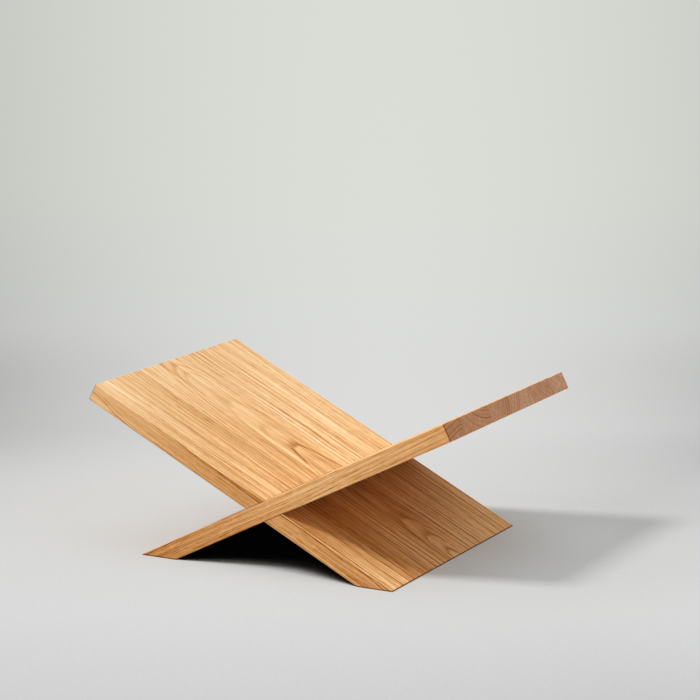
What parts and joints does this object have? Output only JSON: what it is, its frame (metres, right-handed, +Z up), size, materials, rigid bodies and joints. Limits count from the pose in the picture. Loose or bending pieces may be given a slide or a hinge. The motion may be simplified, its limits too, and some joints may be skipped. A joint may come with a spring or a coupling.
{
  "type": "crossed bookstand",
  "caption": "Crossed oak bookstand: slotted solid boards slide together into an X whose upper V cradles an open book or magazine.",
  "frame": {"origin": "on the ground under the crossing, halfway along the depth", "axes": "+X to the right across the two rests, +Y away from the reader along the depth, +Z up"},
  "size_m": [0.4292, 0.295, 0.1808],
  "materials": {
    "oak_pale": "oiled",
    "oak_golden": "oiled",
    "oak_brown": "oiled"
  },
  "bodies": {
    "right_board": {"right_board_stave_1": "oak_golden", "right_board_stave_2": "oak_pale", "right_board_stave_3": "oak_brown", "right_board_stave_4_lower": "oak_golden", "right_board_stave_4_upper": "oak_golden", "right_board_stave_5_lower": "oak_pale", "right_board_stave_5_upper": "oak_pale", "right_board_stave_6_lower": "oak_golden", "right_board_stave_6_upper": "oak_golden"},
    "left_board": {"left_board_stave_1": "oak_golden", "left_board_stave_2": "oak_pale", "left_board_stave_3": "oak_brown", "left_board_stave_4_lower": "oak_golden", "left_board_stave_4_upper": "oak_golden", "left_board_stave_5_lower": "oak_pale", "left_board_stave_5_upper": "oak_pale"}
  },
  "joints": [
    {"name": "slots_slide", "type": "slide", "parent": "right_board", "child": "left_board", "axis": [0, 1, 0], "range_m": [0, 0.1475]}
  ]
}
